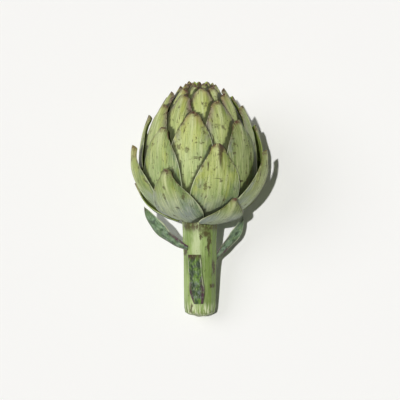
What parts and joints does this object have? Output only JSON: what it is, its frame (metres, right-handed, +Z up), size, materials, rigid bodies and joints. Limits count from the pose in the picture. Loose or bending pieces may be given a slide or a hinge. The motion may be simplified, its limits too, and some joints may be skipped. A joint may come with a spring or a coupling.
{
  "type": "artichoke",
  "caption": "Globe artichoke head of overlapping green bracts on a short cut stem with small stem leaves, lying on its side",
  "frame": {"origin": "on the floor under the middle of the plant's bounding box, as it lies on its side", "axes": "+Z up, +Y along the plant from the cut stem to the tip of the head, +X to the right when seen from above with the head at the top"},
  "size_m": [0.0956, 0.1593, 0.089],
  "materials": {
    "outer_bract": "satin",
    "crown_bract": "satin",
    "inner_bud": "satin",
    "stem": "satin",
    "stem_leaf": "satin",
    "cut_leaf": "satin"
  },
  "bodies": {
    "root": {"stem": "stem", "inner_bud": "inner_bud", "stem_leaf_left": "stem_leaf", "stem_leaf_right": "stem_leaf", "stem_leaf_cut": "cut_leaf", "bract_01": "outer_bract", "bract_02": "outer_bract", "bract_03": "outer_bract", "bract_04": "outer_bract", "bract_05": "outer_bract", "bract_06": "outer_bract", "bract_07": "outer_bract", "bract_08": "outer_bract", "bract_09": "outer_bract", "bract_10": "outer_bract", "bract_11": "outer_bract", "bract_12": "outer_bract", "bract_13": "outer_bract", "bract_14": "outer_bract", "bract_15": "outer_bract", "bract_16": "outer_bract", "bract_17": "outer_bract", "bract_18": "outer_bract", "bract_19": "outer_bract", "bract_20": "outer_bract", "bract_21": "crown_bract", "bract_22": "crown_bract", "bract_23": "crown_bract", "bract_24": "crown_bract", "bract_25": "crown_bract", "bract_26": "crown_bract", "bract_27": "crown_bract", "bract_28": "crown_bract", "bract_29": "crown_bract", "bract_30": "crown_bract", "bract_31": "crown_bract", "bract_32": "crown_bract", "bract_33": "crown_bract", "bract_34": "crown_bract", "bract_35": "crown_bract", "bract_36": "crown_bract", "bract_37": "crown_bract", "bract_38": "crown_bract", "bract_39": "crown_bract", "bract_40": "crown_bract", "bract_41": "crown_bract", "bract_42": "crown_bract", "bract_43": "crown_bract", "bract_44": "crown_bract", "bract_45": "crown_bract", "bract_46": "crown_bract", "bract_47": "crown_bract", "bract_48": "crown_bract", "bract_49": "crown_bract", "bract_50": "crown_bract", "bract_51": "crown_bract", "bract_52": "crown_bract", "bract_53": "crown_bract", "bract_54": "crown_bract"}
  },
  "joints": []
}
